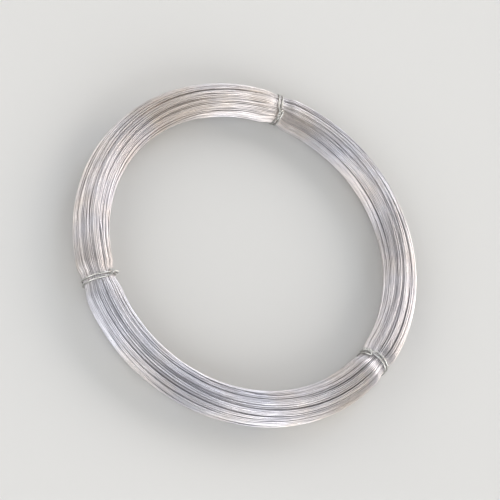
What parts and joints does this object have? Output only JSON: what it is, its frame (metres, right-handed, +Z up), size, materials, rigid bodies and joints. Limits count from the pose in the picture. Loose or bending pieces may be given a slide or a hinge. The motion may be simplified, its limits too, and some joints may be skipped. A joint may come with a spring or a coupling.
{
  "type": "coil of superalloy wire",
  "caption": "Flat-lying ring-shaped coil of bright drawn metal wire round an open bore, its bundle drawn in and held by twisted tie wires.",
  "frame": {"origin": "on the floor under the coil, on the bore's axis", "axes": "+Z up along the bore's axis; +X and +Y lie in the floor, with the first tie wire 15 degrees round from +X towards +Y"},
  "size_m": [0.496, 0.496, 0.046],
  "materials": {
    "superalloy_wire": "bright drawn nickel superalloy wire, satin along the turns",
    "tie_wire": "soft annealed tie wire, bright"
  },
  "bodies": {
    "root": {"wire_coil": "superalloy_wire", "tie_wire_1": "tie_wire", "tie_wire_2": "tie_wire", "tie_wire_3": "tie_wire"}
  },
  "joints": []
}
